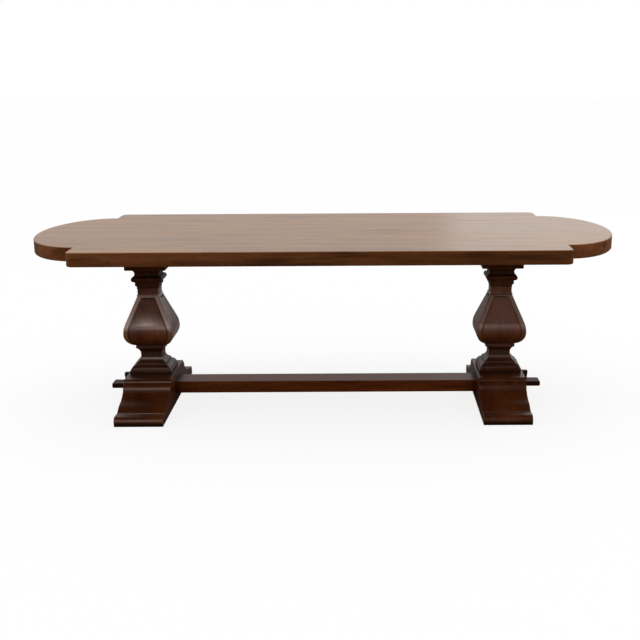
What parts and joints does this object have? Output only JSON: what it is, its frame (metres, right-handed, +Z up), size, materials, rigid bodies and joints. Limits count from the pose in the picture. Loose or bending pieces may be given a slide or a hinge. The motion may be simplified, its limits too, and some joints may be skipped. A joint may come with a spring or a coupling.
{
  "type": "trestle dining table",
  "caption": "Long dining table: a plank top with stepped, bowed ends on vase-shaped pedestals with sled feet, tied by a stretcher whose through tenons are locked by wedges.",
  "frame": {"origin": "on the floor, under the middle of the table top", "axes": "+X along the length of the table, +Y across it towards the back, +Z up"},
  "size_m": [2.4898, 1.162, 0.762],
  "materials": {
    "top_wood": "stained, satin lacquer",
    "pedestal_wood": "dark stain, gloss lacquer",
    "plain_wood": "bare",
    "fastener_steel": "zinc plated"
  },
  "bodies": {
    "table": {"top_board_1": "top_wood", "top_board_2": "top_wood", "top_board_3": "top_wood", "top_board_4": "top_wood", "top_board_5": "top_wood", "top_board_6": "top_wood", "top_board_7": "top_wood", "top_board_8": "top_wood", "top_board_9": "top_wood", "top_tongue_1": "plain_wood", "top_tongue_2": "plain_wood", "top_tongue_3": "plain_wood", "top_tongue_4": "plain_wood", "top_tongue_5": "plain_wood", "top_tongue_6": "plain_wood", "top_tongue_7": "plain_wood", "top_tongue_8": "plain_wood", "foot_left": "pedestal_wood", "plinth_left": "pedestal_wood", "pedestal_base_left": "pedestal_wood", "baluster_left": "pedestal_wood", "capital_left": "pedestal_wood", "cap_plate_left": "pedestal_wood", "bearer_left": "pedestal_wood", "foot_bolts_left": "fastener_steel", "cap_screws_left": "fastener_steel", "top_screws_left": "fastener_steel", "foot_right": "pedestal_wood", "plinth_right": "pedestal_wood", "pedestal_base_right": "pedestal_wood", "baluster_right": "pedestal_wood", "capital_right": "pedestal_wood", "cap_plate_right": "pedestal_wood", "bearer_right": "pedestal_wood", "foot_bolts_right": "fastener_steel", "cap_screws_right": "fastener_steel", "top_screws_right": "fastener_steel", "stretcher": "pedestal_wood"},
    "left_wedge": {"wedge_left": "pedestal_wood"},
    "right_wedge": {"wedge_right": "pedestal_wood"}
  },
  "joints": [
    {"name": "left_wedge_lift", "type": "slide", "parent": "table", "child": "left_wedge", "axis": [0, 0, 1], "range_m": [0, 0.06]},
    {"name": "right_wedge_lift", "type": "slide", "parent": "table", "child": "right_wedge", "axis": [0, 0, 1], "range_m": [0, 0.06]}
  ]
}
